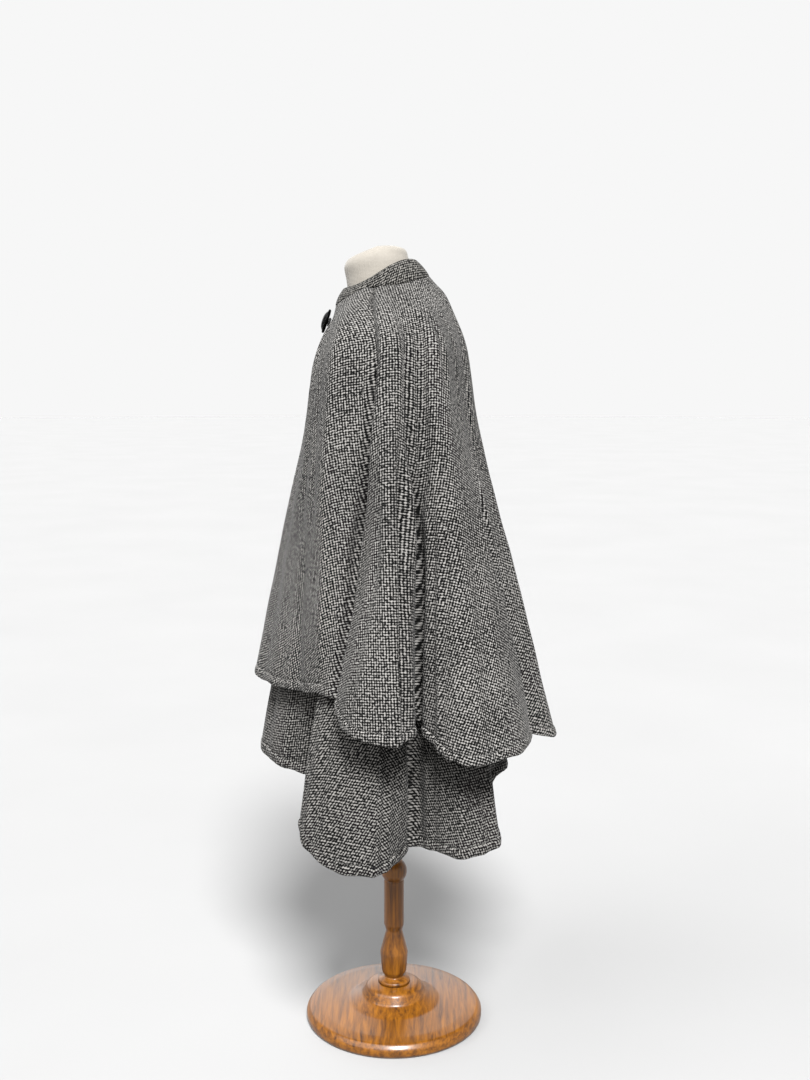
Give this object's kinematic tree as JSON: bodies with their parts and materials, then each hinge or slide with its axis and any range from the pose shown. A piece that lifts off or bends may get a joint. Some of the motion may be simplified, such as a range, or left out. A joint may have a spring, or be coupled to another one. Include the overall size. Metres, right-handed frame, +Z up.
{
  "type": "wool cape coat on dress form",
  "caption": "Two-tier hip-length wool cape coat with a narrow stand collar and a button at the neck, on a limbless dress form with a turned wooden stand.",
  "frame": {"origin": "on the floor, at the middle of the stand's flat underside, under the post", "axes": "+Z up along the post, -Y towards the front of the garment, +X towards the wearer's left"},
  "size_m": [0.6646, 0.5377, 1.4265],
  "materials": {
    "over_cape_wool": "black and off-white basket-weave wool, matt",
    "under_cape_wool": "black and off-white basket-weave wool, matt",
    "collar_wool": "black and off-white basket-weave wool, matt",
    "form_linen": "smooth cream cover, matt",
    "turned_wood": "orange-brown varnish, satin",
    "black_button": "black, satin",
    "black_cord": "black cord, matt"
  },
  "bodies": {
    "root": {"over_front_left": "over_cape_wool", "over_front_right": "over_cape_wool", "over_back": "over_cape_wool", "under_front_left": "under_cape_wool", "under_front_right": "under_cape_wool", "under_back": "under_cape_wool", "collar": "collar_wool", "button": "black_button", "button_loop": "black_cord", "dress_form": "form_linen", "stand_post": "turned_wood", "stand_base": "turned_wood"}
  },
  "joints": []
}
